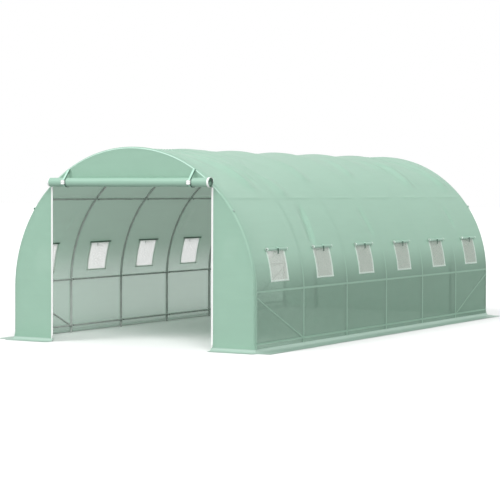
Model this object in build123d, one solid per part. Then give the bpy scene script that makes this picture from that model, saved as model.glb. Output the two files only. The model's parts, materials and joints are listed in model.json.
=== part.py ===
from build123d import *
from math import acos, asin, atan2, cos, degrees, hypot, radians, sin, sqrt
import os

# A walk-in polytunnel greenhouse: hoops of steel tube under one film cover, open at the door end.
# Millimetres. X runs across, Y from the door end (minus) to the back (plus), Z up from the ground.

# The tunnel as a whole
tunnel_length = 6000  # over the end panels
tunnel_width = 3000  # over the cover
spring_height = 560  # top of the straight legs, where the round arch begins
bay_count = 6  # spans between hoops
fit_gap = 0.3  # clearance between a sheet and the tube under it, and between tube and tube

# Steel frame
tube_diameter = 25  # hoops, door posts and headers
rail_diameter = 20  # beams that run the length of the tunnel
brace_diameter = 16  # diagonals in the corner bays
base_rail_height = 85
side_rail_rise = 44  # over the spring line
purlin_angle = 40.5  # degrees up the arch from its spring line
brace_drop = 47  # from the side rail down to where a diagonal meets the end hoop
brace_foot_height = 76  # where it meets the next hoop

# Film cover
film_thickness = 3
cover_sag = 24  # how far the roof dips between two hoops
scallop_shares = (1 / 4, 1 / 2, 3 / 4)  # places along a bay where the dip is drawn
band_top_angle = 30  # top of the window band, degrees up the arch
shoulder_top_angle = 60  # top of the shoulder strip
crown_angle = 90
fold_height = 36  # where a wall turns out into the skirt
side_skirt_width = 200
end_skirt_width = 120
skirt_slope_run = 45  # how far out the skirt comes down to the ground

# Doorway and its rolled-up door
side_panel_width = 515  # from the outside of the cover in to the doorway
post_setback = 12  # post behind the edge of the doorway
header_rise = 27  # header over the point where a post meets the hoop
door_roll_diameter = 100
door_roll_rise = 17  # roll over the header
door_roll_overhang = 5  # past each side of the doorway
wind_pitch = 5  # from one turn of a roll to the next
roll_eye = 6  # radius left open in the middle of a roll
zip_width = 22
zip_thickness = 2

# Ties that hold the rolled door
tie_inset = 212  # from the ends of the roll
tie_width = 25
tie_thickness = 2
tie_margin = 5  # from the strap's top to the arch
tie_end_angle = 270  # where the strap stops under the roll, degrees round it
toggle_size = 46
toggle_thickness = 10

# Windows, one in each bay of each side
window_width = 380
window_height = 311
window_sill_rise = 131  # over the spring line
window_roll_diameter = 38
window_roll_length = 415
window_roll_rise = 16  # over the top of the window

# Sizes that follow from these
half_length = tunnel_length / 2
cover_radius = tunnel_width / 2
film_inside = cover_radius - film_thickness
tube_radius = tube_diameter / 2
hoop_outside = film_inside - fit_gap
hoop_radius = hoop_outside - tube_radius  # to the tube's centre line
hoop_inside = hoop_radius - tube_radius
rail_line = hoop_inside - fit_gap - rail_diameter / 2  # beams lie against the inside of the hoops
end_hoop_y = half_length - film_thickness - fit_gap - tube_radius
frame_end_y = end_hoop_y + tube_radius
bay_length = 2 * end_hoop_y / bay_count
hoop_places = [bay_length * k - end_hoop_y for k in range(bay_count + 1)]
bay_places = [y + bay_length / 2 for y in hoop_places[:-1]]
side_rail_height = spring_height + side_rail_rise
jamb = cover_radius - side_panel_width  # half the doorway's width
post_x = jamb + post_setback + tube_radius
header_height = spring_height + sqrt(hoop_radius**2 - post_x**2) + header_rise
door_height = header_height - tube_diameter
door_roll_height = header_height + door_roll_rise
door_roll_end = jamb + door_roll_overhang
window_bottom = spring_height + window_sill_rise
window_top = window_bottom + window_height
window_roll_height = window_top + window_roll_rise

parts = {}


def mirrored_left(piece):
    return mirror(piece, about=Plane.YZ)


def at_back(piece):
    return mirror(piece, about=Plane.XZ)


def add(name, *pieces):
    """Names a node: one solid, or several like ones that don't touch."""
    parts[name] = pieces[0] if len(pieces) == 1 else Compound(children=list(pieces))


def add_pair(name, *pieces):
    """Adds right-hand pieces and their mirror image on the left."""
    add(name + "_right", *pieces)
    add(name + "_left", *[mirrored_left(piece) for piece in pieces])


def on_arch(radius, angle, y=0):
    """Point on an arch of the given radius, at an angle up from the right-hand spring line."""
    return Vector(radius * cos(radians(angle)), y, spring_height + radius * sin(radians(angle)))


def angle_at_height(radius, height):
    return degrees(asin((height - spring_height) / radius))


def tube_between(start, end, diameter):
    run = Vector(*end) - Vector(*start)
    return extrude(Plane(start, z_dir=run) * Circle(diameter / 2), amount=run.length)


def block(x_range, y_range, z_range):
    """Box between two limits on each axis."""
    ranges = (x_range, y_range, z_range)
    size = [high - low for low, high in ranges]
    centre = [(high + low) / 2 for low, high in ranges]
    return Pos(*centre) * Box(*size)


# Hoops: one bent tube each, with straight legs and a half-round arch
def make_hoop(y):
    left_spring = on_arch(hoop_radius, 2 * crown_angle, y)
    right_spring = on_arch(hoop_radius, 0, y)
    left_foot = (left_spring.X, y, 0)
    right_foot = (right_spring.X, y, 0)
    arch = ThreePointArc(left_spring, on_arch(hoop_radius, crown_angle, y), right_spring)
    path = Line(left_foot, left_spring) + arch + Line(right_spring, right_foot)
    return sweep(Plane(left_foot) * Circle(tube_radius), path=path)


for number, hoop_y in enumerate(hoop_places, start=1):
    add(f"hoop_{number}", make_hoop(hoop_y))


# Beams along the tunnel, laid against the inside of the hoops
def make_beam(x, z):
    return tube_between((x, -frame_end_y, z), (x, frame_end_y, z), rail_diameter)


def beam_on_arch(angle):
    place = on_arch(rail_line, angle)
    return make_beam(place.X, place.Z)


add("ridge_beam", beam_on_arch(crown_angle))
add_pair("purlin", beam_on_arch(purlin_angle))
add_pair("side_rail", beam_on_arch(angle_at_height(rail_line, side_rail_height)))
add_pair("base_rail", make_beam(rail_line, base_rail_height))


# Corner braces: a diagonal in each end bay of each side, trimmed square against the two legs
def make_brace():
    end_leg, next_leg = hoop_places[:2]
    top = (hoop_radius, end_leg, side_rail_height - brace_drop)
    foot = (hoop_radius, next_leg, brace_foot_height)
    clear_bay = (end_leg + tube_radius + fit_gap, next_leg - tube_radius - fit_gap)
    room = block((0, tunnel_width), clear_bay, (0, spring_height + cover_radius))
    return tube_between(top, foot, brace_diameter) & room


front_brace = make_brace()
add_pair("braces", front_brace, at_back(front_brace))


# Door frame at each end: two posts and a header, notched to fit under the end hoop
def notched_under_hoop(start, end):
    """Tube in the plane of the front hoop, cut back to the inside of that hoop."""
    bar = tube_between((start[0], -end_hoop_y, start[1]), (end[0], -end_hoop_y, end[1]), tube_diameter)
    notch = revolve(Pos(hoop_radius, 0) * Circle(tube_radius + fit_gap), axis=Axis.Y)
    pieces = (bar - Pos(0, -end_hoop_y, spring_height) * notch).solids()
    return pieces.sort_by(lambda piece: hypot(piece.center().X, piece.center().Z - spring_height))[0]


front_post = notched_under_hoop((post_x, 0), (post_x, spring_height + cover_radius))
front_header = notched_under_hoop((-cover_radius, header_height), (cover_radius, header_height))
front_posts = (front_post, mirrored_left(front_post))
add("front_door_posts", *front_posts)
add("front_door_header", front_header)
add("rear_door_posts", *[at_back(post) for post in front_posts])
add("rear_door_header", at_back(front_header))


# Cover: long strips up each side, straight on the walls and scalloped over the roof
def dip_share(angle):
    """Part of the roof's sag that shows at an angle: none at the window band, all at the crown."""
    climb = (angle - band_top_angle) / (crown_angle - band_top_angle)
    return sin(radians(crown_angle * climb)) ** 2


def strip_section(low_angle, high_angle, y, sag=0):
    """Slice across a strip of the cover between two angles, drawn in by the sag."""
    angles = (low_angle, (low_angle + high_angle) / 2, high_angle)
    outer = [on_arch(cover_radius - sag * dip_share(a), a, y) for a in angles]
    inner = [on_arch(film_inside - sag * dip_share(a), a, y) for a in angles]
    low_edge = Line(inner[0], outer[0])
    high_edge = Line(outer[-1], inner[-1])
    return make_face(ThreePointArc(*outer) + high_edge + ThreePointArc(*inner) + low_edge)


def scallop_stations():
    """Places along the tunnel and the share of the sag at each: none over a hoop, all at mid-bay."""
    stations = [(-half_length, 0)]
    for start in hoop_places[:-1]:
        stations.append((start + tube_radius, 0))
        for share in scallop_shares:
            stations.append((start + bay_length * share, sin(radians(2 * crown_angle * share)) ** 2))
        stations.append((start + bay_length - tube_radius, 0))
    return stations + [(half_length, 0)]


def scalloped_strip(low_angle, high_angle):
    slices = [strip_section(low_angle, high_angle, y, cover_sag * share) for y, share in scallop_stations()]
    return loft(slices)


wall = block((film_inside, cover_radius), (-half_length, half_length), (fold_height, spring_height))
window_band = extrude(strip_section(0, band_top_angle, -half_length), amount=tunnel_length, dir=(0, 1, 0))


def window_cut(y, margin):
    """Block through the right-hand wall where a window is, less a margin all round."""
    y_range = (y - window_width / 2 + margin, y + window_width / 2 - margin)
    return block((0, tunnel_width), y_range, (window_bottom + margin, window_top - margin))


screens = [window_band & window_cut(y, fit_gap) for y in bay_places]
for y in bay_places:
    window_band -= window_cut(y, 0)

add_pair("cover_wall", wall)
add_pair("cover_window_band", window_band)
add_pair("cover_shoulder", scalloped_strip(band_top_angle, shoulder_top_angle))
add_pair("cover_roof", scalloped_strip(shoulder_top_angle, crown_angle))
add_pair("window_screens", *screens)


# Rolled film: half circles about two centres, each turn one pitch inside the last
def winding(surface_radius, half_turns):
    arcs = []
    for half in range(half_turns):
        radius = surface_radius - half * wind_pitch / 2
        side = (-1) ** half
        centre = (side - 1) * wind_pitch / 4
        start, end = (centre + side * radius, 0), (centre - side * radius, 0)
        arcs.append(ThreePointArc(start, (centre, side * radius), end))
    return arcs


def make_roll(start_plane, diameter, length):
    """Film wound up along the plane's normal, its free edge on the plane's X axis, towards the wall."""
    outer_radius = diameter / 2
    half_turns = int(2 * (outer_radius - film_thickness - roll_eye) / wind_pitch)
    outer = winding(outer_radius, half_turns)
    inner = winding(outer_radius - film_thickness, half_turns)
    ends = [Line(outer[k] @ k_end, inner[k] @ k_end) for k, k_end in ((0, 0), (-1, 1))]
    return extrude(start_plane * make_face(outer + inner + ends), amount=length)


# Window flaps, rolled up over each screen
def make_window_roll(y):
    seat = cover_radius + fit_gap + window_roll_diameter / 2
    angle = angle_at_height(seat, window_roll_height)
    start = on_arch(seat, angle, y - window_roll_length / 2)
    to_wall = (-cos(radians(angle)), 0, -sin(radians(angle)))
    return make_roll(Plane(start, x_dir=to_wall, z_dir=(0, 1, 0)), window_roll_diameter, window_roll_length)


add_pair("window_rolls", *[make_window_roll(y) for y in bay_places])


# End panels: flat film inside the arch, beside and over the doorway
panel_radius = film_inside - fit_gap
panel_faces = (-half_length, -half_length + film_thickness)
beside_door = block((jamb, tunnel_width), panel_faces, (fold_height, spring_height + cover_radius))
over_door = block((-jamb, jamb), panel_faces, (door_height, spring_height + cover_radius))


def make_end_sheet():
    arch = Pos(0, 0, spring_height) * Rot(90, 0, 0) * Cylinder(panel_radius, tunnel_length)
    legs = block((-panel_radius, panel_radius), (-half_length, half_length), (0, spring_height))
    return arch + legs


end_outline = make_end_sheet()
side_panel = beside_door & end_outline
top_panel = over_door & end_outline
add_pair("front_panel", side_panel)
add("front_panel_top", top_panel)
add_pair("rear_panel", at_back(side_panel))
add("rear_panel_top", at_back(top_panel))

# The back door hangs closed in its opening
door_reach = jamb - fit_gap
closed_door = block((-door_reach, door_reach), panel_faces, (0, door_height - fit_gap))
add("rear_door", at_back(closed_door))

# Zips: along the free edges of the open doorway, and over the seams of the closed one
zip_faces = (-half_length - zip_thickness, -half_length)
roll_underside = door_roll_height - door_roll_diameter / 2
open_zip = block((jamb, jamb + zip_width), zip_faces, (fold_height, roll_underside))
closed_zip = block((jamb - zip_width / 2, jamb + zip_width / 2), zip_faces, (fold_height, door_height))
add("front_door_zips", open_zip, mirrored_left(open_zip))
add("rear_door_zips", at_back(closed_zip), at_back(mirrored_left(closed_zip)))

# Front door, rolled up over the doorway
roll_y = -half_length - fit_gap - door_roll_diameter / 2
roll_plane = Plane((-door_roll_end, roll_y, door_roll_height), x_dir=(0, 1, 0), z_dir=(1, 0, 0))
add("front_door_roll", make_roll(roll_plane, door_roll_diameter, 2 * door_roll_end))


# Ties: a strap from the arch down round the front of the roll, with a toggle on it
def make_tie(x):
    loop = door_roll_diameter / 2 + fit_gap + tie_thickness / 2
    tie_top = spring_height + sqrt(panel_radius**2 - (abs(x) + tie_width / 2) ** 2) - tie_margin
    rise = tie_top - door_roll_height
    reach = -half_length - tie_thickness / 2 - roll_y
    leave = atan2(rise, reach) + acos(loop / hypot(rise, reach))

    def round_roll(turn):
        return Vector(x, roll_y + loop * cos(turn), door_roll_height + loop * sin(turn))

    top = Vector(x, roll_y + reach, tie_top)
    under = radians(tie_end_angle)
    strap_path = Line(top, round_roll(leave)) + ThreePointArc(
        round_roll(leave), round_roll((leave + under) / 2), round_roll(under)
    )
    across = Plane(top, x_dir=(1, 0, 0), z_dir=round_roll(leave) - top)
    return sweep(across * Rectangle(tie_width, tie_thickness), path=strap_path)


def make_toggle(x):
    back = roll_y - door_roll_diameter / 2 - 2 * fit_gap - tie_thickness
    half = toggle_size / 2
    z_range = (door_roll_height - half, door_roll_height + half)
    return block((x - half, x + half), (back - toggle_thickness, back), z_range)


tie_places = (tie_inset - door_roll_end, door_roll_end - tie_inset)
add("door_ties", *[make_tie(x) for x in tie_places])
add("door_toggles", *[make_toggle(x) for x in tie_places])


# Skirts: the film's lower edge, turned out and laid on the ground
def skirt_outline(width):
    """Slice across a skirt, from the foot of the wall at zero outwards."""
    top = [(0, fold_height), (skirt_slope_run, film_thickness), (width, film_thickness)]
    under = [(width, 0), (skirt_slope_run - film_thickness, 0), (-film_thickness, fold_height)]
    return make_face(Polyline(*top, *under, close=True))


side_plane = Plane((cover_radius, half_length, 0), x_dir=(1, 0, 0), z_dir=(0, -1, 0))
end_plane = Plane((panel_radius, -half_length, 0), x_dir=(0, -1, 0), z_dir=(-1, 0, 0))
end_skirt = extrude(end_plane * skirt_outline(end_skirt_width), amount=panel_radius - jamb)
add_pair("skirt", extrude(side_plane * skirt_outline(side_skirt_width), amount=tunnel_length))
add("skirt_front", end_skirt, mirrored_left(end_skirt))
add("skirt_rear", at_back(end_skirt), at_back(mirrored_left(end_skirt)))

os.makedirs("parts", exist_ok=True)
for name, shape in parts.items():
    export_step(shape, f"parts/{name}.step")
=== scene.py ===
import json
import math

import bmesh
import bpy
import numpy as np
from mathutils import Matrix, Vector


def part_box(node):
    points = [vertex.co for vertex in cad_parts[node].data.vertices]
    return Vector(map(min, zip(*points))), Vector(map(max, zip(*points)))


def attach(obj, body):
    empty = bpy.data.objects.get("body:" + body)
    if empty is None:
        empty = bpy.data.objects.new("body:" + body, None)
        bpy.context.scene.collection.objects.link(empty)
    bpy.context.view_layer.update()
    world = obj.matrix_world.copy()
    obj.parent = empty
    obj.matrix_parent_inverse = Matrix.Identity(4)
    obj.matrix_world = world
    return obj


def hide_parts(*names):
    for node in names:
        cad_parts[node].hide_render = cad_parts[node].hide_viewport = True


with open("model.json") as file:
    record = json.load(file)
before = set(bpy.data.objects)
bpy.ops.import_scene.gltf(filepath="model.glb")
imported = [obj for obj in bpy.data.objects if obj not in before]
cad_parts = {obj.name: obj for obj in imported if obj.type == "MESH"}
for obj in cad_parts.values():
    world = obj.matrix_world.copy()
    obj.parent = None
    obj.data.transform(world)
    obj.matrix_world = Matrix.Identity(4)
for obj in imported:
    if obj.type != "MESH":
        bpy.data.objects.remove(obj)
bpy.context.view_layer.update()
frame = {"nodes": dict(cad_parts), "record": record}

# The looks of a walk-in polytunnel greenhouse, in metres, on the CAD frame.
# X runs across, Y from the door end (minus) to the back (plus), Z up from the ground.

BODY = "root"

# Sizes read from the frame
wall_low, wall_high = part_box("cover_wall_right")
half_width, half_length = wall_high.x, wall_high.y
fold, spring = wall_low.z, wall_high.z
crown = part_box("cover_roof_right")[1].z
arch_radius = crown - spring
wall_length = spring - fold
cover_length = 2 * wall_length + math.pi * arch_radius
hoop_count = sum(name.startswith("hoop_") for name in frame["nodes"])
hoop_boxes = [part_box(f"hoop_{number + 1}") for number in range(hoop_count)]
hoop_places = [(low.y + high.y) / 2 for low, high in hoop_boxes]
tube_radius = (hoop_boxes[0][1].y - hoop_boxes[0][0].y) / 2
bay = hoop_places[1] - hoop_places[0]
bay_places = [place + bay / 2 for place in hoop_places[:-1]]
skirt_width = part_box("skirt_right")[1].x - half_width
end_skirt_width = -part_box("skirt_front")[0].y - half_length
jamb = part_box("front_panel_right")[0].x
door_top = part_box("front_panel_top")[0].z
screen_low, screen_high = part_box("window_screens_right")
window_width = screen_high.y - screen_low.y - bay * (len(bay_places) - 1)
window_bottom = screen_low.z
flap_low, flap_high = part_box("window_rolls_right")
flap_radius = (flap_high.x - flap_low.x) / 2
flap_width = flap_high.y - flap_low.y - bay * (len(bay_places) - 1)
flap_x, flap_z = (flap_low.x + flap_high.x) / 2, (flap_low.z + flap_high.z) / 2
window_top = flap_z
roll_low, roll_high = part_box("front_door_roll")
roll_radius = (roll_high.y - roll_low.y) / 2
roll_y, roll_z = (roll_low.y + roll_high.y) / 2, roll_high.z - roll_radius
toggle_low, toggle_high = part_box("door_toggles")
toggle_size = toggle_high.z - toggle_low.z
strap_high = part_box("door_ties")[1]
purlin_low, purlin_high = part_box("purlin_right")
purlin_turn = math.atan2((purlin_low.z + purlin_high.z) / 2 - spring, (purlin_low.x + purlin_high.x) / 2)
purlin_place = wall_length + arch_radius * purlin_turn
rail_boxes = [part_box(f"{rail}_right") for rail in ("base_rail", "side_rail")]
brace_low, brace_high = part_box("braces_right")
brace_radius = (brace_high.x - brace_low.x) / 2
brace_foot = brace_low.z + brace_radius
brace_slope = (brace_high.z - brace_radius - brace_foot) / bay

# Film cover
sheet_step = 0.030
column_step = 0.020
roof_sag = 0.023
wall_sag = 0.003
broad_wave = 0.0026
purlin_ridge = 0.006
purlin_spread = 0.017
crest_height = 0.028
crest_slopes = (0.095, 0.090)
valley_depth = 0.030
valley_slopes = (0.085, 0.034)
sag_run = 0.3
sag_angles = (46, 80)
wave_cells = (0.22, 0.31)
fine_wave_cells = (0.09, 0.12)
fine_wave_share = 0.5
wave_over_hoop = 0.15
wave_foot = 0.15
fold_fades = (0.4, 0.75)
crease_step = 0.0125
crease_height = 0.013
crease_cells = (0.24, 1.3)
crease_lean = math.radians(24)
crease_sharpness = 7.0
edge_radius = 0.022
edge_foot = 0.06
edge_fade = 0.06
edge_stops = 8
ridge_stops = 4

# Tolerances
rounding = 1e-6
same_place = 1e-5
corner_margin = 1e-4
weld_gap = 2e-4

# Skirts
skirt_slope_run = 0.045
skirt_slope_stops = 9
skirt_cells = (0.23, 0.4)
skirt_clearance = 0.0012
skirt_lift = 0.006
skirt_lift_start = 0.6
skirt_corner = 0.045
skirt_inset = 0.002
fray_depth = 0.006
fray_cell = 0.35

# End panels and their seams
panel_reach = half_width - edge_radius
panel_arch_stops = 49
panel_side_stops = 13
panel_edge_fade = 0.12
panel_door_fade = 0.10
panel_cells = (0.16, 0.34)
panel_fine_cells = (0.07, 0.2)
panel_wave = 0.0035
panel_slack = 0.7
seam_radius = 0.0068
seam_end_turn = math.radians(22)
seam_step = 0.04
seam_sides = 8
seam_thin = 0.2
seam_taper = 0.8

# Roof folds: bay, place in it at the top, angles of top and foot, lean along the bay, share of height
CRESTS = (
    (1, 0.14, 80, 56, 0.16, 0.6),
    (1, 0.34, 77, 42, 0.42, 1.2),
    (1, 0.62, 74, 50, 0.22, 0.7),
    (2, 0.19, 56, 40, 0.10, 0.6),
    (3, 0.12, 73, 48, -0.05, 0.7),
    (4, 0.60, 80, 52, -0.28, 0.9),
    (5, 0.54, 80, 57, -0.12, 0.7),
    (5, 0.80, 78, 44, -0.11, 1.1),
    (6, 0.67, 78, 42, 0.02, 1.1),
)
VALLEYS = (
    (2, 0.45, 39, 17, -0.07, 1.2),
    (3, 0.80, 37, 20, 0.06, 0.5),
    (6, 0.18, 37, 22, 0.06, 0.4),
)

# Windows
hem_width = 0.027
bottom_hem_width = 0.018
hem_height = 0.0016
HEM_PROFILE = ((-1, -0.3), (-0.92, 0.6), (-0.5, 1.0), (0.5, 1.0), (0.92, 0.6), (1, -0.3))
bottom_hem_lift = 1.5 * hem_height
net_depth = 0.001
flap_seam = 0.05
flap_length = window_top - window_bottom + flap_seam
flap_eye = 0.004
flap_hem = 0.012
flap_flare = 0.001
flap_seed = 50
tie_start_angle = 150
tie_stops = 31
tail_stops = 5
tie_width = 0.024
tie_tail = 0.050
tie_thickness = 0.0018
tie_shade_start = 26
top_shade_width = 0.012
top_shade_depth = 0.004

# Wound sheets
wound_turn_stops = 36
wound_step = 0.05
wound_slack = 0.0014
wound_cells = (0.25, 0.06)
wound_recess = 0.6
wound_edge = 0.001
wound_clearance = 0.002

# Doors
door_length = 1.72
door_eye = 0.026
door_flares = (0.001, 0.006)
door_bands = (0.0168, 0.024)
# White zip tape is drawn only on the outer turn. The inner turns' ends keep the rolled film: painted shade in
# the roll's hollow end, on top of their real recess
trimmed_turns = 1.1
roll_overhang = 0.018
strap_width = 0.025
shaded_strap_width = 0.012
strap_thickness = 0.002
strap_edge_ease = 0.3
strap_end_angle = 240
shaded_strap_end_angle = 275
strap_ring_stops = 30
strap_fall_stops = 6
toggle_rail_share = 0.2
toggle_plate_share = 0.7
toggle_plate_bevel = 0.001
toggle_rail_bevel = 0.0025
rear_door_gap = 0.003
rear_door_fade = 0.1
rear_door_cells = (0.12, 0.7)
rear_door_fine_cells = (0.06, 0.4)
rear_door_wave = 0.005

# Zips
zip_step = 0.05
zip_tape_thickness = 0.0018
zip_tape_lift = 0.0012
tooth_pitch = 0.006
tooth_height = 0.56 * tooth_pitch
tooth_depth = 0.002
tooth_lift = 0.0028
tooth_width_share = 0.32
tooth_aside_share = 0.08
slider_size = (0.012, 0.006, 0.016)
slider_bevel = 0.002
slider_lift = 0.005
slider_height = 0.03
pull_size = (0.008, 0.002, 0.036)
pull_bevel = 0.0008
pull_lift = 0.004
pull_drop = 0.020

# Bolts, of a washer and a head: sides, and radius, foot and top as shares of the bolt's size
BOLT_PARTS = ((16, 1.35, 0, 0.22), (6, 1.0, 0.22, 0.95))
frame_bolt_size = 0.007
arch_bolt_turn = math.radians(34.5)
arch_bolt_size = 0.011

# Colours
MINT = (0.39, 0.63, 0.495)
BACKLIT_MINT = (0.53, 0.62, 0.56)
CLEAR_MINT = (0.43, 0.50, 0.46)
# Painted light: the skirts' film is paler than the cover's, standing in for the white ground lighting it from
# beneath
SKIRT_LIT_MINT = (0.47, 0.645, 0.555)
HEM_MINT = (0.90, 0.97, 0.93)
ROLLED_MINT = (0.31, 0.50, 0.395)
# Partly painted highlight: the seam's piping is paler than the film, for the doubled film and for the
# highlight along the arch's rim
SEAM_HIGHLIGHT_MINT = (0.58, 0.79, 0.69)
NET_PALE = (0.66, 0.69, 0.63)
NET_BACKLIT = (0.9, 0.9, 0.9)
STEEL_GREY = (0.50, 0.53, 0.51)
ZINC_GREY = (0.30, 0.32, 0.31)
CAP_GREEN = (0.36, 0.50, 0.43)
WHITE = (0.92, 0.93, 0.92)
PALE_GREEN = (0.46, 0.72, 0.59)
# Painted shade: the colour of the second door strap, of the ties' lower ends and tails, and of the strips
# along the window tops
SHADE_GREEN = (0.05, 0.11, 0.08)
FLOOR_FOR_LIGHT = (0.42, 0.42, 0.42)
FLOOR_SEEN = (0.96, 0.96, 0.96)

# Surfaces: a thread is its pitch, a blotch its spread and scale, a relief its strength and depth
blotch_detail = 3.0
blotch_stops = (0.3, 0.7)
streak_scale = (2.2, 17.0, 1.0)
film_thread = 0.003
film_blotch = (0.014, 1.0)
film_relief = (0.25, 0.0004)
film_roughness = 0.38
film_ior = 1.45
film_glow = 0.25
hem_glow = 0.5
backed_loss = 0.5
net_thread = 0.0024
net_gap = 0.64
net_blotch = (0.03, 9.0)
net_relief = (0.3, 0.0004)
net_roughness = 0.7
net_glow = 0.5
webbing_thread = 0.0022
webbing_blotch = (0.06, 30.0)
webbing_relief = (0.6, 0.0006)
webbing_roughness = 0.75
grain_scale = 6
grain_detail = 4.0
grain_contrast = 0.08
grain_depth = 0.0005

# Light and camera
floor_reach = 120
floor_drop = 0.001
dome_low = 0.57
dome_high = 0.83
sun_spread = math.radians(30)
frame_pixels = 500
focal_pixels = 1700.2
sensor_width = 36
sight_limit = 500
camera_place = (9.873, -17.556, 1.627)
camera_turn = math.radians(30.103)
camera_tilt = math.radians(90 - 2.053)
camera_roll = math.radians(0.2)


def smooth(low, high, value):
    share = np.clip((value - low) / (high - low), 0, 1)
    return share * share * (3 - 2 * share)


def soft_noise(u, v, cell_u, cell_v, seed):
    """Smooth random waves from -1 to 1, with cells of the given size."""
    count = 97
    lattice = np.random.default_rng(seed).uniform(-1, 1, (count, count))
    a, b = np.asarray(u) / cell_u + count / 3, np.asarray(v) / cell_v + count / 3
    i, j = np.floor(a).astype(int), np.floor(b).astype(int)
    p, q = smooth(0, 1, a - i), smooth(0, 1, b - j)
    i, j, k, m = i % count, j % count, (i + 1) % count, (j + 1) % count
    low = lattice[i, j] * (1 - p) + lattice[k, j] * p
    high = lattice[i, m] * (1 - p) + lattice[k, m] * p
    return low * (1 - q) + high * q


def even_stops(stops, step):
    """Places from stop to stop, none further apart than the step."""
    places = [stops[0]]
    for start, end in zip(stops, stops[1:]):
        count = max(1, math.ceil((end - start) / step - rounding))
        places += [start + (end - start) * (k + 1) / count for k in range(count)]
    return np.array(places)


def off_places(value, places):
    """Distance from the nearest of the places."""
    return np.min(np.abs(np.asarray(value)[..., None] - np.array(places)), axis=-1)


def stacked(*values):
    """Arrays of like shape, or that spread to one, as the last axis of one array."""
    return np.stack(np.broadcast_arrays(*values), axis=-1)


def run_lengths(line):
    steps = np.linalg.norm(np.diff(line, axis=0), axis=1)
    return np.concatenate([[0], np.cumsum(steps)])


# Material tools
def new_material(name):
    material = bpy.data.materials.new(name)
    material.use_nodes = True
    tree = material.node_tree
    tree.nodes.clear()
    return material, tree


def add_node(tree, kind, inputs=(), **settings):
    node = tree.nodes.new("ShaderNode" + kind)
    for key, value in settings.items():
        setattr(node, key, value)
    for key, value in dict(inputs).items():
        if isinstance(value, bpy.types.NodeSocket):
            tree.links.new(value, node.inputs[key])
        else:
            node.inputs[key].default_value = value
    return node


def math_node(tree, operation, *values):
    return add_node(tree, "Math", dict(enumerate(values)), operation=operation).outputs[0]


def mix_shaders(tree, share, first, second):
    return add_node(tree, "MixShader", {"Fac": share, 1: first, 2: second}).outputs[0]


def finish_material(tree, shader):
    add_node(tree, "OutputMaterial", {"Surface": shader})


def varied_colour(tree, colour, spread, scale, place=None):
    """The colour with soft blotches lighter and darker than it."""
    place = place or add_node(tree, "TexCoord").outputs["Object"]
    noise = add_node(tree, "TexNoise", {"Vector": place, "Scale": scale, "Detail": blotch_detail})
    ramp = add_node(tree, "ValToRGB", {"Fac": noise.outputs["Fac"]})
    levels = (1 - spread, 1 + spread)
    for element, position, level in zip(ramp.color_ramp.elements, blotch_stops, levels):
        element.position = position
        element.color = (*[channel * level for channel in colour], 1)
    return ramp.outputs["Color"]


def flat_map(tree):
    return add_node(tree, "UVMap", uv_map="flat").outputs["UV"]


def ridges(tree, coordinate, pitch):
    """Ridge height from 0 to 1 along a coordinate, once every pitch."""
    turn = math_node(tree, "MULTIPLY", coordinate, math.pi / pitch)
    return math_node(tree, "ABSOLUTE", math_node(tree, "SINE", turn))


def thread_ridges(tree, pitch):
    """Ridges both ways over a sheet, from its own flat map."""
    axes = add_node(tree, "SeparateXYZ", {"Vector": flat_map(tree)})
    return [ridges(tree, axes.outputs[axis], pitch) for axis in "XY"]


def bumped(tree, height, strength, distance):
    """Normal of a surface with fine relief."""
    values = {"Height": height, "Strength": strength, "Distance": distance}
    return add_node(tree, "Bump", values).outputs["Normal"]


def streaks(tree):
    """Flat map drawn out along the sheet, for marks that run its length."""
    values = {"Vector": flat_map(tree), "Scale": streak_scale}
    return add_node(tree, "Mapping", values).outputs["Vector"]


# Materials
def unbacked_share(tree, place):
    """1 on free film, less where a corner diagonal lies right behind it."""
    axes = add_node(tree, "SeparateXYZ", {"Vector": place}).outputs
    along = math_node(tree, "ABSOLUTE", axes["Y"])
    line = math_node(tree, "MULTIPLY_ADD", along, brace_slope, brace_foot - brace_slope * hoop_places[-2])
    off = math_node(tree, "ABSOLUTE", math_node(tree, "SUBTRACT", axes["Z"], line))
    on_line = math_node(tree, "LESS_THAN", off, brace_radius * math.hypot(1, brace_slope))
    on_brace = math_node(tree, "MULTIPLY", on_line, math_node(tree, "GREATER_THAN", along, hoop_places[-2]))
    return math_node(tree, "MULTIPLY_ADD", on_brace, -backed_loss, 1.0)


def film_material(
    name, colour=MINT, glow=BACKLIT_MINT, glow_share=film_glow, clear_low=0.0, clear_high=0.0, braced=False
):
    """Woven film: part reflects, part glows with the light behind it, part is clear, more so low down."""
    material, tree = new_material(name)
    weave = math_node(tree, "MULTIPLY", *thread_ridges(tree, film_thread))
    values = {
        "Base Color": varied_colour(tree, colour, *film_blotch, streaks(tree)),
        "Roughness": film_roughness,
        "IOR": film_ior,
        "Normal": bumped(tree, weave, *film_relief),
    }
    surface = add_node(tree, "BsdfPrincipled", values).outputs[0]
    if glow:
        glowing = add_node(tree, "BsdfTranslucent", {"Color": (*glow, 1)}).outputs[0]
        surface = mix_shaders(tree, glow_share, surface, glowing)
    if clear_low:
        place = add_node(tree, "TexCoord").outputs["Object"]
        height = add_node(tree, "SeparateXYZ", {"Vector": place}).outputs["Z"]
        limits = {"From Min": spring, "From Max": window_top, "To Min": clear_low, "To Max": clear_high}
        ranged = add_node(tree, "MapRange", {"Value": height, **limits}, interpolation_type="SMOOTHSTEP")
        share = ranged.outputs[0]
        if braced:
            share = math_node(tree, "MULTIPLY", share, unbacked_share(tree, place))
        clear = add_node(tree, "BsdfTransparent", {"Color": (*CLEAR_MINT, 1)}).outputs[0]
        surface = mix_shaders(tree, share, surface, clear)
    finish_material(tree, surface)
    return material


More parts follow.
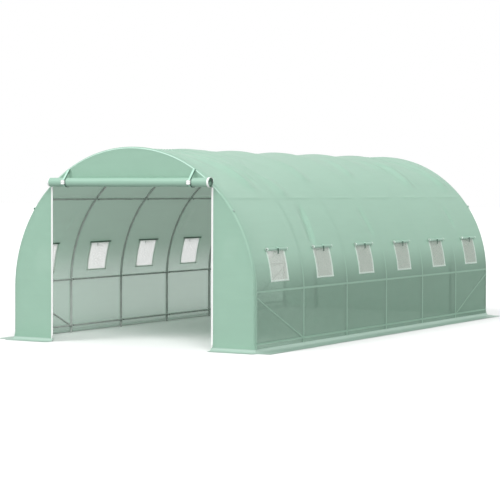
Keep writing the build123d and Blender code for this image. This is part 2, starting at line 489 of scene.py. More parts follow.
def net_material():
    """Netting: threads both ways with clear gaps, lit from behind as well as in front."""
    material, tree = new_material("window_net")
    thickest = math_node(tree, "MAXIMUM", *thread_ridges(tree, net_thread))
    on_thread = math_node(tree, "GREATER_THAN", thickest, net_gap)
    values = {
        "Base Color": varied_colour(tree, NET_PALE, *net_blotch),
        "Roughness": net_roughness,
        "Normal": bumped(tree, thickest, *net_relief),
    }
    surface = add_node(tree, "BsdfPrincipled", values).outputs[0]
    glow = add_node(tree, "BsdfTranslucent", {"Color": (*NET_BACKLIT, 1)}).outputs[0]
    thread = mix_shaders(tree, net_glow, surface, glow)
    clear = add_node(tree, "BsdfTransparent").outputs[0]
    finish_material(tree, mix_shaders(tree, on_thread, clear, thread))
    return material


def solid_material(name, colour, spread, scale, roughness, metal=0.0, bump=0.0):
    """Opaque material with soft blotches and a fine uneven surface."""
    material, tree = new_material(name)
    place = add_node(tree, "TexCoord").outputs["Object"]
    settings = {"Vector": place, "Scale": scale * grain_scale, "Detail": grain_detail}
    grain = add_node(tree, "TexNoise", settings).outputs["Fac"]
    limits = {"To Min": roughness - grain_contrast, "To Max": roughness + grain_contrast}
    values = {
        "Base Color": varied_colour(tree, colour, spread, scale),
        "Roughness": add_node(tree, "MapRange", {"Value": grain, **limits}).outputs[0],
        "Metallic": metal,
    }
    if bump:
        values["Normal"] = bumped(tree, grain, bump, grain_depth)
    finish_material(tree, add_node(tree, "BsdfPrincipled", values).outputs[0])
    return material


def webbing_material(name, colour):
    material, tree = new_material(name)
    weave = math_node(tree, "MULTIPLY", *thread_ridges(tree, webbing_thread))
    values = {
        "Base Color": varied_colour(tree, colour, *webbing_blotch),
        "Roughness": webbing_roughness,
        "Normal": bumped(tree, weave, *webbing_relief),
    }
    finish_material(tree, add_node(tree, "BsdfPrincipled", values).outputs[0])
    return material


film = film_material("cover_film", clear_low=0.58, clear_high=0.04, braced=True)
film_on_tube = film_material("film_on_tube", clear_low=0.25, clear_high=0.04)
panel_film = film_material("panel_film", clear_low=0.11, clear_high=0.09)
rolled_film = film_material("rolled_film", ROLLED_MINT, glow=None)
# Painted light: a paler, opaque copy of the film for the skirts on the ground
skirt_lit_film = film_material("skirt_lit_film", SKIRT_LIT_MINT)
hem_film = film_material("hem_film", HEM_MINT, HEM_MINT, hem_glow)
# Paler film for the seam: doubled film and a painted highlight along the arch's rim
seam_highlight_film = film_material("seam_highlight_film", SEAM_HIGHLIGHT_MINT, glow=None)
net = net_material()
steel = solid_material("galvanised_tube", STEEL_GREY, 0.10, 14.0, roughness=0.60, metal=0.15, bump=0.15)
zinc = solid_material("zinc_bolt", ZINC_GREY, 0.08, 60.0, roughness=0.40, metal=0.9)
bolt_cap = solid_material("bolt_cap", CAP_GREEN, 0.05, 60.0, roughness=0.50)
white_plastic = solid_material("white_plastic", WHITE, 0.015, 40.0, roughness=0.45, bump=0.1)
webbing = webbing_material("pale_webbing", PALE_GREEN)
# Painted shade: webbing in the colour of shade, for marks that stand in for shadow
shade_webbing = webbing_material("shade_webbing", SHADE_GREEN)


# Piece tools
def make_piece(name, mesh, slot, *materials):
    for material in materials:
        mesh.materials.append(material)
    piece = bpy.data.objects.new(name, mesh)
    bpy.context.scene.collection.objects.link(piece)
    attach(piece, BODY)
    return piece


def mesh_from_grid(name, points, flat, left_out=None, finish=None):
    """Sheet of quads over a grid of points, with a flat map in metres. Finish is each quad's material."""
    rows, columns = points.shape[:2]
    index = np.arange(rows * columns).reshape(rows, columns)
    corners = [index[:-1, :-1], index[1:, :-1], index[1:, 1:], index[:-1, 1:]]
    quads = np.stack(corners, axis=-1).reshape(-1, 4)
    kept = np.ones(len(quads), bool) if left_out is None else ~left_out.reshape(-1)
    used, quads = np.unique(quads[kept], return_inverse=True)
    quads = quads.reshape(-1, 4)
    mesh = bpy.data.meshes.new(name)
    mesh.from_pydata(points.reshape(-1, 3)[used].tolist(), [], quads.tolist())
    layer = mesh.uv_layers.new(name="flat")
    layer.data.foreach_set("uv", flat.reshape(-1, 2)[used][quads.reshape(-1)].astype(np.float32).reshape(-1))
    if finish is not None:
        mesh.polygons.foreach_set("material_index", finish.reshape(-1)[kept].astype(np.int32))
    mesh.shade_smooth()
    return mesh


def close_tube(mesh):
    """Joins the seam of a tube made from a grid, and closes its ends."""
    shape = bmesh.new()
    shape.from_mesh(mesh)
    bmesh.ops.remove_doubles(shape, verts=shape.verts, dist=rounding)
    bmesh.ops.holes_fill(shape, edges=shape.edges)
    shape.to_mesh(mesh)
    shape.free()
    return mesh


def swept(name, line, side, outline, scale=1.0):
    """Closed outline of (side, out) points swept along a line, square to it, larger or smaller on the way."""
    line, outline = np.asarray(line, float), np.asarray(outline, float)
    forward = np.gradient(line, axis=0)
    forward /= np.linalg.norm(forward, axis=1)[:, None]
    side = np.broadcast_to(np.asarray(side, float), line.shape)
    side = side - forward * np.sum(side * forward, axis=1)[:, None]
    side /= np.linalg.norm(side, axis=1)[:, None]
    out = np.cross(forward, side)
    loop = np.vstack([outline, outline[:1]])
    scale = np.broadcast_to(scale, len(line))[:, None, None]
    points = line[:, None] + scale * (side[:, None] * loop[None, :, :1] + out[:, None] * loop[None, :, 1:])
    flat = stacked(run_lengths(line)[:, None], run_lengths(loop)[None, :])
    return close_tube(mesh_from_grid(name, points, flat))


def strap_outline(width, thickness):
    """Flat strap with its four edges eased."""
    ease = thickness * strap_edge_ease
    half, deep = width / 2, thickness / 2
    corner = [(half - ease, deep), (half, deep - ease)]
    right = [(x, -y) for x, y in reversed(corner)]
    return corner + right + [(-x, -y) for x, y in corner] + [(-x, -y) for x, y in right]


def round_outline(radius, sides):
    turns = np.linspace(0, 2 * math.pi, sides, endpoint=False)
    return np.stack([np.cos(turns), np.sin(turns)], axis=-1) * radius


def mesh_of(shape, name):
    mesh = bpy.data.meshes.new(name)
    shape.to_mesh(mesh)
    shape.free()
    return mesh


def rounded_block(name, centre, size, bevel):
    shape = bmesh.new()
    bmesh.ops.create_cube(shape, size=1, matrix=Matrix.Translation(centre) @ Matrix.Diagonal((*size, 1)))
    bmesh.ops.bevel(shape, geom=shape.edges[:], offset=bevel, segments=3, profile=0.5, affect="EDGES")
    return mesh_of(shape, name)


def join_meshes(name, meshes, soft=True):
    joined = bmesh.new()
    for mesh in meshes:
        joined.from_mesh(mesh)
        bpy.data.meshes.remove(mesh)
    mesh = mesh_of(joined, name)
    if soft:
        mesh.shade_smooth()
    return mesh


def wound_sheet(name, start, end, first, radius, eye, length, bands, flare, trimmed, seed):
    """A sheet wound up on the line from start to end. Its outer edge lies in the direction first,
    bands are the trims at its two ends, on so many trimmed turns, and flare is how far it opens out there.
    The edge of each turn closes in on the turn inside it."""
    axis = (end - start).normalized()
    second = axis.cross(first)
    turns = length / (math.pi * (radius + eye))
    phase = np.linspace(0, 2 * math.pi * turns, int(turns * wound_turn_stops) + 1)
    reach = radius - (radius - eye) * phase / phase[-1]
    width = (end - start).length
    fine = [0, wound_edge, bands[0] / 2, bands[0], 2 * bands[0]]
    fine += [width - 2 * bands[1], width - bands[1], width - bands[1] / 2, width - wound_edge, width]
    along = even_stops(fine, wound_step)
    closed = np.where((along == 0) | (along == width), (radius - eye) / turns, 0)
    share = (reach / radius)[:, None]
    loose = wound_slack * soft_noise(along[None, :], phase[:, None] * radius, *wound_cells, seed)
    opened = flare[0] * smooth(2 * bands[0], 0, along) + flare[1] * smooth(2 * bands[1], 0, width - along)
    grown = reach[:, None] + (loose + opened[None, :]) * share - closed[None, :]
    turn = np.cos(phase)[:, None, None] * np.array(first) + np.sin(phase)[:, None, None] * np.array(second)
    to_ends = smooth(width - 2 * bands[1], width, along) - smooth(2 * bands[0], 0, along)
    place = along[None, :] - wound_recess * radius * (1 - share) * to_ends[None, :]
    points = np.array(start) + place[..., None] * np.array(axis) + grown[..., None] * turn
    run = np.concatenate([[0], np.cumsum(reach[:-1] * np.diff(phase))])
    middle = (along[:-1] + along[1:]) / 2
    at_end = (middle < bands[0]) | (middle > width - bands[1])
    trim = at_end[None, :] & (phase[:-1] < 2 * math.pi * trimmed)[:, None]
    return mesh_from_grid(name, points, stacked(along[None, :], run[:, None]), finish=trim)


# The cover's outline, measured up from the right-hand fold and over to the left-hand one
def outline(distance):
    """Point across the tunnel and outward direction, at a distance along the bare outline."""
    turn = np.clip((distance - wall_length) / arch_radius, 0, math.pi)
    out_x, out_z = np.cos(turn), np.sin(turn)
    from_end = np.minimum(distance, cover_length - distance)
    drop = np.minimum(from_end - wall_length, 0)
    return arch_radius * out_x, spring + arch_radius * out_z + drop, out_x, out_z


def distance_at(height):
    """Distance along the outline up to a height on the right-hand side."""
    if height < spring:
        return height - fold
    return wall_length + arch_radius * math.asin((height - spring) / arch_radius)


def dip_between_hoops(y):
    """None over a hoop, 1 at mid-bay."""
    share = np.clip((off_places(y, hoop_places) - tube_radius / 2) / (bay / 2 - tube_radius / 2), 0, 1)
    return share * (2 - share)


def fold_share(folds, slopes, distance, y):
    """Profile of the folds, 1 on the line of each, with a slope before it and another behind it.
    The left-hand side of the roof has them in the opposite order."""
    from_end = np.minimum(distance, cover_length - distance)
    along = np.where(distance < cover_length / 2, y, -y)
    total = np.zeros(along.shape)
    for bay_number, share, top, foot, lean, size in folds:
        low, high = (wall_length + arch_radius * math.radians(angle) for angle in (foot, top))
        down = (high - from_end) / (high - low)
        off = along - hoop_places[bay_number - 1] - bay * (share + lean * down)
        fade = smooth(0, fold_fades[0], down) * smooth(1, fold_fades[1], down)
        total += size * fade * np.exp(-((off / np.where(off < 0, *slopes)) ** 2))
    return total


def crease_share(distance, y):
    """Thin creases up the roof of the end bays, 1 on each line, where long leaning waves cross zero."""
    across = y * math.cos(crease_lean) + distance * math.sin(crease_lean)
    along = distance * math.cos(crease_lean) - y * math.sin(crease_lean)
    wave = soft_noise(across, along, *crease_cells, seed=6)
    line = np.clip(1 - crease_sharpness * np.abs(wave), 0, 1)
    on_roof = smooth(purlin_high.z, (purlin_high.z + crown) / 2, outline(distance)[1])
    return line * on_roof * smooth(hoop_places[-3], hoop_places[-2], np.abs(y))


def cover_depth(distance, y):
    """How far the film lies inside its bare outline."""
    from_end = np.minimum(distance, cover_length - distance)
    angle = np.degrees((from_end - wall_length) / arch_radius)
    sag = wall_sag * smooth(0, sag_run, from_end) + (roof_sag - wall_sag) * smooth(*sag_angles, angle)
    dip = dip_between_hoops(y)
    wave = soft_noise(distance, y, *wave_cells, seed=3)
    wave += fine_wave_share * soft_noise(distance, y, *fine_wave_cells, seed=4)
    waving = (wave_over_hoop + (1 - wave_over_hoop) * dip) * smooth(0, wave_foot, from_end)
    depth = sag * dip + broad_wave * wave * waving
    depth -= purlin_ridge * dip * np.exp(-(((from_end - purlin_place) / purlin_spread) ** 2))
    depth -= crest_height * fold_share(CRESTS, crest_slopes, distance, y)
    depth += valley_depth * fold_share(VALLEYS, valley_slopes, distance, y)
    depth -= crease_height * np.sqrt(dip) * crease_share(distance, y)
    inside_edge = half_length - edge_radius
    over_edge = np.clip((np.abs(y) - inside_edge) / edge_radius, 0, 1)
    wrap = edge_radius * (1 - np.sqrt(1 - over_edge**2)) * smooth(0, edge_foot, from_end)
    return depth * (1 - smooth(inside_edge - edge_fade, inside_edge, np.abs(y))) + wrap


def on_cover(distance, y, lift=0.0):
    """Points on the film, or lifted off it along its outward direction."""
    distance, y = np.broadcast_arrays(np.asarray(distance, float), np.asarray(y, float))
    x, z, out_x, out_z = outline(distance)
    move = lift - cover_depth(distance, y)
    return stacked(x + out_x * move, y, z + out_z * move)


# Skirts: the film turns out of the wall in a quarter round and lies on the ground
def skirt_stops(width):
    turns = np.radians(np.linspace(0, 90, skirt_slope_stops)[1:])
    flat = even_stops([skirt_slope_run, width], sheet_step)[1:]
    return np.concatenate([skirt_slope_run * (1 - np.cos(turns)), flat])


def skirt_height(out, along, width, seed):
    """Height of a skirt above the ground, with its free edge lifting a little here and there."""
    slope = np.clip(1 - out / skirt_slope_run, 0, 1)
    ripple = (1 + soft_noise(along, out, *skirt_cells, seed)) / 2
    lift = skirt_lift * ripple**2 * smooth(skirt_slope_run * skirt_lift_start, width, out)
    return fold * (1 - np.sqrt(1 - slope**2)) + skirt_clearance + lift


def cover_columns(hole_half):
    """Places along the tunnel, some of them on the sides of the hoops and of the window holes."""
    wrap_turns = np.radians(np.linspace(0, 90, edge_stops)[1:])
    wrap = half_length - edge_radius + edge_radius * np.sin(wrap_turns)
    stops = [-half_length + edge_radius, half_length - edge_radius]
    stops += [place + side * hole_half for place in bay_places for side in (-1, 1)]
    stops += [place + side * tube_radius for place in hoop_places[1:-1] for side in (-1, 0, 1)]
    stops = sorted(stops)
    columns = [stops[:1]]
    for low, high in zip(stops, stops[1:]):
        in_end_bay = abs(low + high) / 2 > hoop_places[-2]
        columns.append(even_stops([low, high], crease_step if in_end_bay else column_step)[1:])
    return np.concatenate([-wrap[::-1], *columns, wrap])


def build_cover():
    hole_low, hole_high = distance_at(window_bottom + hem_width / 2), distance_at(window_top)
    hole_half = (window_width - hem_width) / 2
    rails = [distance_at(corner.z) for box in rail_boxes for corner in box]
    ridge = [purlin_place + k * purlin_spread / 2 for k in range(-ridge_stops, ridge_stops + 1)]
    stops = sorted([0, wall_length, hole_low, hole_high, cover_length / 2, *rails, *ridge])
    half = even_stops(stops, sheet_step)
    up = np.concatenate([half, (cover_length - half[::-1])[1:]])
    y = cover_columns(hole_half)
    out = skirt_stops(skirt_width)
    frayed = fray_depth * (soft_noise(y, 0 * y, fray_cell, 1.0, seed=22) - 1)
    skirt_x = half_width + out[:, None] + frayed[None, :] * (out / skirt_width)[:, None]
    to_corner = np.sign(y) * np.clip((np.abs(y) - half_length) / edge_radius + 1, 0, 1)
    skirt_y = y[None, :] + to_corner[None, :] * np.minimum(out, skirt_slope_run)[:, None]
    right = stacked(skirt_x, skirt_y, skirt_height(out[:, None], y[None, :], skirt_width, seed=21))
    left = right * np.array([-1, 1, 1])
    points = np.concatenate([right[::-1], on_cover(up[:, None], y[None, :]), left])
    run = np.concatenate([-out[::-1] - fold / 2, up, cover_length + out + fold / 2])
    middle_run, middle_y = (run[:-1] + run[1:]) / 2, (y[:-1] + y[1:]) / 2
    middle_run = np.minimum(middle_run, cover_length - middle_run)
    in_band = (middle_run > hole_low) & (middle_run < hole_high)
    in_window = off_places(middle_y, bay_places) < hole_half
    holes = in_band[:, None] & in_window[None, :]
    by_rail = np.zeros(len(middle_run), bool)
    for low, high in zip(rails[::2], rails[1::2]):
        by_rail |= (middle_run > low) & (middle_run < high)
    by_hoop = off_places(middle_y, hoop_places) < tube_radius
    by_hoop |= np.abs(middle_y) > hoop_places[-1]
    free, on_ground, on_tube = range(3)
    finish = np.where(by_rail[:, None] | by_hoop[None, :], on_tube, free)
    finish[middle_run < 0] = on_ground
    mesh = mesh_from_grid("cover_sheet", points, stacked(y[None, :], run[:, None]), holes, finish)
    cover = make_piece("cover_sheet", mesh, "cover_film", film, skirt_lit_film, film_on_tube)
    strips = ("wall", "window_band", "shoulder", "roof")
    nodes = [f"cover_{strip}_{side}" for strip in strips for side in ("left", "right")]
    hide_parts(*nodes, "skirt_left", "skirt_right")


build_cover()


# Windows: netting behind a hemmed hole, and the flap rolled up above it
def hem_band(centre, side, out, width):
    """Sewn hem: a flat band with a crowned face along a line of points."""
    across, rises = np.array(HEM_PROFILE).T * np.array([[width / 2], [hem_height]])
    points = centre[:, None] + side * across[None, :, None] + out * rises[None, :, None]
    return mesh_from_grid("hem", points, stacked(run_lengths(centre)[:, None], across[None, :]))


def build_window(side_name, sign, number, y):
    """One window: netting, hems, rolled flap and the tie that holds it."""
    tag = f"{side_name}_{number}"
    low, high = distance_at(window_bottom), distance_at(window_top)
    left, right = y - window_width / 2, y + window_width / 2

    def on_side(distance, along, lift):
        return on_cover(distance, along, lift) * np.array([sign, 1, 1])

    def outward(distance):
        turn = (distance - wall_length) / arch_radius
        return stacked(sign * np.cos(turn), 0 * turn, np.sin(turn))

    rows, columns = even_stops([low, high], sheet_step), even_stops([left, right], sheet_step)
    points = on_side(rows[:, None], columns[None, :], -net_depth)
    mesh = mesh_from_grid("net", points, stacked(columns[None, :], rows[:, None]))
    screen = make_piece(f"window_net_{tag}", mesh, "window_net", net)
    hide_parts(f"window_screens_{side_name}")

    hems = []
    for place in (left + hem_width / 2, right - hem_width / 2):
        centre = on_side(rows, np.full(len(rows), place), hem_height)
        hems.append(hem_band(centre, np.array([0.0, 1.0, 0.0]), outward(rows)[:, None], hem_width))
    foot = low + bottom_hem_width / 2
    centre = on_side(np.full(len(columns), foot), columns, bottom_hem_lift)
    out = outward(np.array(foot))
    hems.append(hem_band(centre, np.array([-out[2], 0, out[0]]), out, bottom_hem_width))
    make_piece(f"window_hem_{tag}", join_meshes("hem", hems), "cover_film", hem_film)

    start = Vector((sign * flap_x, y - flap_width / 2, flap_z))
    end = Vector((sign * flap_x, y + flap_width / 2, flap_z))
    inward = Vector((-sign * flap_x, 0, spring - flap_z)).normalized()
    bands, flare = (flap_hem, flap_hem), (flap_flare, flap_flare)
    radius = flap_radius - wound_clearance
    seed = flap_seed + number
    rolled = wound_sheet(
        "flap", start, end, inward, radius, flap_eye, flap_length, bands, flare, math.inf, seed
    )
    flap = make_piece(f"window_flap_{tag}", rolled, "cover_film", rolled_film, hem_film)
    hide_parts(f"window_rolls_{side_name}")

    loop = flap_radius + tie_thickness / 2
    swing = np.radians(np.linspace(tie_start_angle, 0, tie_stops))
    ring = np.array([[sign * (flap_x + loop * math.cos(a)), y, flap_z + loop * math.sin(a)] for a in swing])
    tail = ring[-1] + np.array([0, 0, -tie_tail]) * np.linspace(0, 1, tail_stops)[1:, None]
    line, outline_points = np.vstack([ring, tail]), strap_outline(tie_width, tie_thickness)
    # The tie is one strap: pale webbing over the top of the roll, and shade webbing on its lower end and
    # tail, painted shade under the roll
    strap = swept("tie", line[:tie_shade_start], (0, 1, 0), outline_points)
    make_piece(f"window_tie_{tag}", strap, "webbing", webbing)
    strap = swept("tie", line[tie_shade_start - 1 :], (0, 1, 0), outline_points)
    make_piece(f"window_tie_tail_{tag}", strap, "webbing", shade_webbing)

    # Painted shade: a shade-coloured strip just inside the film along the window's top, standing in for the
    # roll's shadow seen from inside
    across = np.linspace(start.y, end.y, len(columns))
    line = on_side(np.full(len(across), high), across, -top_shade_depth)
    out = outward(np.array(high))
    tape = swept("tape", line, (-out[2], 0, out[0]), strap_outline(top_shade_width, tie_thickness))
    make_piece(f"window_top_tape_{tag}", tape, "webbing", shade_webbing)


for side_name, sign in (("right", 1), ("left", -1)):
    for number, y in enumerate(bay_places, start=1):
        build_window(side_name, sign, number, y)


# End panels: one sheet over the arch with the doorway cut out of it, and its skirts
def panel_outlines():
    """The sheet as three pieces round the doorway: over, right and left of it."""

    def edge_at(height):
        return math.sqrt(panel_reach**2 - (height - spring) ** 2)

    turn_top = math.acos(edge_at(door_top) / panel_reach)
    turns = np.linspace(turn_top, math.pi - turn_top, panel_arch_stops)
    over = [(panel_reach * math.cos(turn), spring + panel_reach * math.sin(turn)) for turn in turns]
    over += [(-jamb, door_top), (jamb, door_top)]
    heights = np.linspace(spring, door_top, panel_side_stops)
    beside = [(jamb, fold), (panel_reach, fold), *[(edge_at(z), z) for z in heights], (jamb, door_top)]
    return over, beside, [(-x, z) for x, z in reversed(beside)]


def cut_into_grid(shape, axis, low, high):
    for place in np.arange(low + sheet_step, high, sheet_step):
        point, normal = Vector(), Vector()
        point[axis], normal[axis] = place, 1
        cut = shape.verts[:] + shape.edges[:] + shape.faces[:]
        bmesh.ops.bisect_plane(shape, geom=cut, dist=same_place, plane_co=point, plane_no=normal)


def wrinkle_panel(shape, end, seed):
    """Slack in the sheet, none along its edges. Its lower corners spread to meet the cover's."""
    for vert in shape.verts:
        x, z = vert.co.x, vert.co.z
        across = abs(x) if z < spring else math.hypot(x, z - spring)
        from_edge = min(panel_reach - across, z - fold)
        from_door = max(abs(x) - jamb, z - door_top)
        fade = smooth(0, panel_edge_fade, from_edge) * smooth(0, panel_door_fade, from_door)
        wave = soft_noise(x, z, *panel_cells, seed)
        wave += fine_wave_share * soft_noise(x + z, z, *panel_fine_cells, seed + 1)
        vert.co.y += end * panel_wave * float(fade * (wave + panel_slack))
        spread = smooth(panel_reach - edge_foot, panel_reach, abs(x)) * (1 - smooth(0, edge_foot, z - fold))
        vert.co.x += math.copysign(edge_radius * spread, x)


def grow_skirt(shape, end, seed):
    """Extends the panel's foot outwards over the ground, rounded off beside the doorway."""
    foot = [edge for edge in shape.edges if all(abs(vert.co.z - fold) < same_place for vert in edge.verts)]
    for reach in skirt_stops(end_skirt_width):
        grown = bmesh.ops.extrude_edge_only(shape, edges=foot)["geom"]
        foot = [item for item in grown if isinstance(item, bmesh.types.BMEdge)]
        for vert in [item for item in grown if isinstance(item, bmesh.types.BMVert)]:
            if abs(vert.co.x) > half_width - corner_margin:
                vert.co.x = math.copysign(half_width + min(reach, skirt_slope_run), vert.co.x)
            to_corner = max(skirt_corner - (abs(vert.co.x) - jamb), 0)
            cut_back = skirt_corner - math.sqrt(max(skirt_corner**2 - to_corner**2, 0))
            vert.co.y = end * (half_length + min(reach, end_skirt_width - cut_back) - skirt_inset)
            vert.co.z = float(skirt_height(reach, vert.co.x, end_skirt_width, seed))
        for face in [item for item in grown if isinstance(item, bmesh.types.BMFace)]:
            face.material_index = 1


def build_end_panel(name, end, seed):
    """End is -1 at the door end and 1 at the back."""
    shape = bmesh.new()
    for points in panel_outlines():
        shape.faces.new([shape.verts.new((x, end * half_length, z)) for x, z in points])
    cut_into_grid(shape, 0, -panel_reach, panel_reach)
    cut_into_grid(shape, 2, fold, crown)
    bmesh.ops.remove_doubles(shape, verts=shape.verts, dist=weld_gap)
    wrinkle_panel(shape, end, seed)
    grow_skirt(shape, end, seed + 5)
    bmesh.ops.remove_doubles(shape, verts=shape.verts, dist=same_place)
    bmesh.ops.recalc_face_normals(shape, faces=shape.faces)
    layer = shape.loops.layers.uv.new("flat")
    for face in shape.faces:
        face.smooth = True
        for loop in face.loops:
            point = loop.vert.co
            beyond = max(0.0, abs(point.y) - half_length - skirt_slope_run / 4)
            loop[layer].uv = (point.x, point.z - beyond)
    area = sum(face.calc_area() for face in shape.faces)
    panel = make_piece(f"{name}_panel", mesh_of(shape, name), "cover_film", panel_film, skirt_lit_film)
    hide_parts(*[f"{name}_panel_{place}" for place in ("left", "right", "top")], f"skirt_{name}")


def build_seam(name, end):
    """Piping over the top of the arch, between the cover and an end panel. Its paler colour is partly the
    doubled film at the seam and partly a painted highlight along the arch's rim.
    """
    low = wall_length + arch_radius * seam_end_turn
    rows = even_stops([low, cover_length - low], seam_step)
    x, z, out_x, out_z = outline(rows)
    inset = edge_radius - seam_radius
    line = stacked(x - out_x * inset, end * (half_length - seam_radius), z - out_z * inset)
    from_end = np.minimum(rows - low, cover_length - low - rows)
    thickness = seam_thin + (1 - seam_thin) * smooth(0, seam_taper, from_end)
    mesh = swept("seam", line, (0, 1, 0), round_outline(seam_radius, seam_sides), thickness)
    make_piece(f"{name}_seam", mesh, "cover_film", seam_highlight_film)


for name, end, seed in (("front", -1, 70), ("rear", 1, 80)):
    build_end_panel(name, end, seed)
    build_seam(name, end)


# Rolled-up door, its straps and their toggles
def build_door_roll():
    start = Vector((roll_low.x, roll_y, roll_z))
    end = Vector((roll_high.x + roll_overhang, roll_y, roll_z))
    first, radius = Vector((0, 1, 0)), roll_radius - wound_clearance
    # The inner turns' ends are left in rolled film, not white tape: painted shade inside the roll's end
    mesh = wound_sheet(
        "door", start, end, first, radius, door_eye, door_length,
        bands=door_bands, flare=door_flares, trimmed=trimmed_turns, seed=91,
    )
    door = make_piece("front_door_sheet", mesh, "cover_film", rolled_film, white_plastic)
    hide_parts("front_door_roll")


def strap_line(x, last_angle):
    """From the arch down over the front of the roll, and round under it to the last angle."""
    loop = roll_radius + strap_thickness / 2
    top = np.array([x, -half_length - strap_thickness, strap_high.z])
    rise, reach = top[2] - roll_z, top[1] - roll_y
    leave = math.atan2(rise, reach) + math.acos(loop / math.hypot(rise, reach))
    turns = np.linspace(leave, math.radians(last_angle), strap_ring_stops)
    ring = stacked(x, roll_y + loop * np.cos(turns), roll_z + loop * np.sin(turns))
    fall = top + (ring[0] - top) * np.linspace(0, 1, strap_fall_stops, endpoint=False)[:, None]
    return np.vstack([fall, ring])


def build_straps(tag, x):
    """A pale strap down to the toggle, and beside it a second, narrower strap that goes on under the roll to
    the header, painted in shade colour as the shadow line beside the pale one.
    """
    line = strap_line(x, strap_end_angle)
    mesh = swept("strap", line, (1, 0, 0), strap_outline(strap_width, strap_thickness))
    pale = make_piece(f"door_strap_{tag}", mesh, "webbing", webbing)
    beside = x + (strap_width + shaded_strap_width) / 2
    line = strap_line(beside, shaded_strap_end_angle)
    header = np.array([beside, -half_length + tube_radius, door_top])
    back = line[-1] + (header - line[-1]) * np.linspace(0, 1, strap_fall_stops)[1:, None]
    line = np.vstack([line, back])
    # Painted shade: this strap stands in for the shadow beside the pale strap
    mesh = swept("strap", line, (1, 0, 0), strap_outline(shaded_strap_width, strap_thickness))
    shaded = make_piece(f"door_strap_shaded_{tag}", mesh, "webbing", shade_webbing)
    for strap in (pale, shaded):
        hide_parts("door_ties")


def build_toggle(tag, x):
    """Square buckle: a plate with a raised rim and a bar across its middle."""
    y, deep = (toggle_low.y + toggle_high.y) / 2, toggle_high.y - toggle_low.y
    rail = toggle_size * toggle_rail_share
    plate = (toggle_size - rail / 2, deep * toggle_plate_share, toggle_size - rail / 2)
    plate_y = y + deep * (1 - toggle_plate_share) / 2
    blocks = [rounded_block("plate", (x, plate_y, roll_z), plate, toggle_plate_bevel)]
    level, upright = (toggle_size, deep, rail), (rail, deep, toggle_size)
    for side in (-1, 0, 1):
        offset = side * (toggle_size - rail) / 2
        blocks.append(rounded_block("rail", (x, y, roll_z + offset), level, toggle_rail_bevel))
        if side:
            blocks.append(rounded_block("rail", (x + offset, y, roll_z), upright, toggle_rail_bevel))
    toggle = make_piece(f"door_toggle_{tag}", join_meshes("toggle", blocks), "white_plastic", white_plastic)
    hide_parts("door_toggles")


build_door_roll()
for tag, x in (("left", toggle_low.x + toggle_size / 2), ("right", toggle_high.x - toggle_size / 2)):
    build_straps(tag, x)
    build_toggle(tag, x)


# Zips: a tape with a row of teeth and a slider at its foot
def build_zip(tag, node, x, end, width):
    low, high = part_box(node)
    face = end * half_length
    line = stacked(x, face + end * zip_tape_lift, even_stops([low.z, high.z], zip_step))
    meshes = [swept("tape", line, (1, 0, 0), strap_outline(width, zip_tape_thickness))]
    teeth = bmesh.new()
    tooth = Matrix.Diagonal((width * tooth_width_share, tooth_depth, tooth_height, 1))
    for k in range(int((high.z - low.z) / tooth_pitch)):
        step_aside = width * tooth_aside_share * (1 if k % 2 else -1)
        place = Vector((x + step_aside, face + end * tooth_lift, low.z + (k + 0.5) * tooth_pitch))
        bmesh.ops.create_cube(teeth, size=1, matrix=Matrix.Translation(place) @ tooth)
    slider = Vector((x, face + end * slider_lift, low.z + slider_height))
    pull = slider + Vector((0, end * pull_lift, -pull_drop))
    meshes += [
        mesh_of(teeth, "teeth"),
        rounded_block("slider", slider, slider_size, slider_bevel),
        rounded_block("pull", pull, pull_size, pull_bevel),
    ]
    piece = make_piece(tag, join_meshes("zip", meshes, soft=False), "white_plastic", white_plastic)
    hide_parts(node)


zip_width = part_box("front_door_zips")[1].x - jamb
for tag, sign in (("left", -1), ("right", 1)):
    build_zip(f"front_zip_{tag}", "front_door_zips", sign * (jamb + zip_width / 2), -1, zip_width)
    build_zip(f"rear_zip_{tag}", "rear_door_zips", sign * jamb, 1, zip_width)


# The back door hangs closed
def build_rear_door():
    columns = even_stops([-jamb, jamb], sheet_step)
    rows = even_stops([rear_door_gap, door_top], sheet_step)
    x, z = np.meshgrid(columns, rows)
    fade = smooth(0, rear_door_fade, jamb - np.abs(x)) * smooth(0, rear_door_fade, door_top - z)
    wave = soft_noise(x, z, *rear_door_cells, seed=95)
    wave += fine_wave_share * soft_noise(x, z, *rear_door_fine_cells, seed=96)
    points = stacked(x, half_length + rear_door_wave * fade * wave, z)
    mesh = mesh_from_grid("door", points, stacked(x, z))
    door = make_piece("rear_door_sheet", mesh, "cover_film", panel_film)
    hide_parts("rear_door")


build_rear_door()


# Frame: galvanised tubes, and the bolts that hold them where they cross
for part in frame["record"]["subparts"]:
    if part["material_slot"] == "steel_tube":
        tube = frame["nodes"][part["node"]].data
        tube.materials.clear()
        tube.materials.append(steel)


def add_bolt(shape, place, direction, size):
    """Hexagon head on a washer."""
    turned = direction.to_track_quat("Z", "Y").to_matrix().to_4x4()
    for sides, radius, low, high in BOLT_PARTS:
        middle = Matrix.Translation(place + direction * size * (low + high) / 2) @ turned
        reach = radius * size
        deep = (high - low) * size
        bmesh.ops.create_cone(
            shape, cap_ends=True, segments=sides, radius1=reach, radius2=reach, depth=deep, matrix=middle
        )


def build_bolts(name, bolts, size, material):
    """Bolts from a list of places and directions."""
    shape = bmesh.new()
    for place, direction in bolts:
        add_bolt(shape, place, direction, size)
    make_piece(name, mesh_of(shape, name), "steel_tube", material)


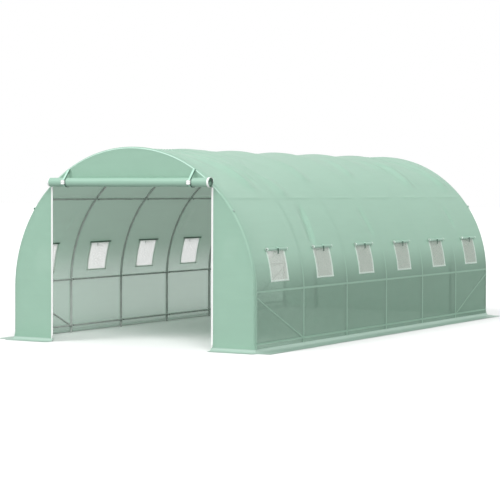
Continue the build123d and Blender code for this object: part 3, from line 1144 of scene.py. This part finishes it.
def crossing_bolts():
    """One on the inner face of each beam, at every hoop."""
    kinds = ("purlin", "side_rail", "base_rail")
    bolts = []
    for beam in ["ridge_beam", *[f"{kind}_{side}" for kind in kinds for side in ("left", "right")]]:
        low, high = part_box(beam)
        x, z = (low.x + high.x) / 2, (low.z + high.z) / 2
        inward = Vector((-x, 0, min(spring - z, 0))).normalized()
        bolts += [(Vector((x, y, z)) + inward * (high.x - low.x) / 2, inward) for y in hoop_places]
    return bolts


def arch_bolts():
    """One on each shoulder of the end arches, through the film."""
    bolts = []
    for y in (hoop_places[0], hoop_places[-1]):
        for side in (-1, 1):
            outward = Vector((side * math.cos(arch_bolt_turn), 0, math.sin(arch_bolt_turn)))
            bolts.append((Vector((0, y, spring)) + outward * arch_radius, outward))
    return bolts


build_bolts("frame_bolts", crossing_bolts(), frame_bolt_size, zinc)
build_bolts("arch_bolts", arch_bolts(), arch_bolt_size, bolt_cap)


# Stage, light and camera
def seen_directly(tree):
    """1 for rays that come from the eye, or by way of a mirror or glass."""
    path = add_node(tree, "LightPath")
    mirrored = math_node(tree, "MAXIMUM", path.outputs["Is Camera Ray"], path.outputs["Is Glossy Ray"])
    return math_node(tree, "MAXIMUM", mirrored, path.outputs["Is Transmission Ray"])


def build_floor():
    signs = ((-1, -1), (1, -1), (1, 1), (-1, 1))
    corners = [(x * floor_reach, y * floor_reach, -floor_drop) for x, y in signs]
    mesh = bpy.data.meshes.new("floor")
    mesh.from_pydata(corners, [], [(0, 1, 2, 3)])
    material, tree = new_material("floor")
    shades = {"Factor": seen_directly(tree), 6: (*FLOOR_FOR_LIGHT, 1), 7: (*FLOOR_SEEN, 1)}
    colour = add_node(tree, "Mix", shades, data_type="RGBA").outputs[2]
    finish_material(tree, add_node(tree, "BsdfDiffuse", {"Color": colour}).outputs[0])
    mesh.materials.append(material)
    floor = bpy.data.objects.new("floor", mesh)
    bpy.context.scene.collection.objects.link(floor)


def build_world():
    """White to the eye. For light, a soft dome, brighter overhead."""
    world = bpy.data.worlds.new("studio")
    bpy.context.scene.world = world
    world.use_nodes = True
    tree = world.node_tree
    tree.nodes.clear()
    way = add_node(tree, "TexCoord").outputs["Generated"]
    height = add_node(tree, "SeparateXYZ", {"Vector": way}).outputs["Z"]
    dome = add_node(tree, "MapRange", {"Value": height, "To Min": dome_low, "To Max": dome_high}).outputs[0]
    strength = add_node(tree, "Mix", {"Factor": seen_directly(tree), 2: dome, 3: 1.0}).outputs[0]
    background = add_node(tree, "Background", {"Color": (1, 1, 1, 1), "Strength": strength}).outputs[0]
    add_node(tree, "OutputWorld", {"Surface": background})


def build_sun(name, direction, energy):
    lamp = bpy.data.lights.new(name, "SUN")
    lamp.energy = energy
    lamp.angle = sun_spread
    sun = bpy.data.objects.new(name, lamp)
    sun.rotation_mode = "QUATERNION"
    sun.rotation_quaternion = Vector(direction).to_track_quat("Z", "Y")
    bpy.context.scene.collection.objects.link(sun)


def build_camera():
    lens = bpy.data.cameras.new("camera")
    lens.sensor_width = sensor_width
    lens.lens = focal_pixels * sensor_width / frame_pixels
    lens.clip_end = sight_limit
    camera = bpy.data.objects.new("camera", lens)
    matrix = Matrix.Translation(camera_place)
    for angle, axis in ((camera_turn, "Z"), (camera_tilt, "X"), (camera_roll, "Z")):
        matrix = matrix @ Matrix.Rotation(angle, 4, axis)
    camera.matrix_world = matrix
    bpy.context.scene.collection.objects.link(camera)
    bpy.context.scene.camera = camera


build_floor()
build_world()
build_sun("key", direction=(0.55, -0.62, 0.56), energy=1.48)
build_sun("fill", direction=(-0.35, -0.6, 0.72), energy=1.15)
build_camera()
bpy.context.scene.view_settings.view_transform = "Standard"
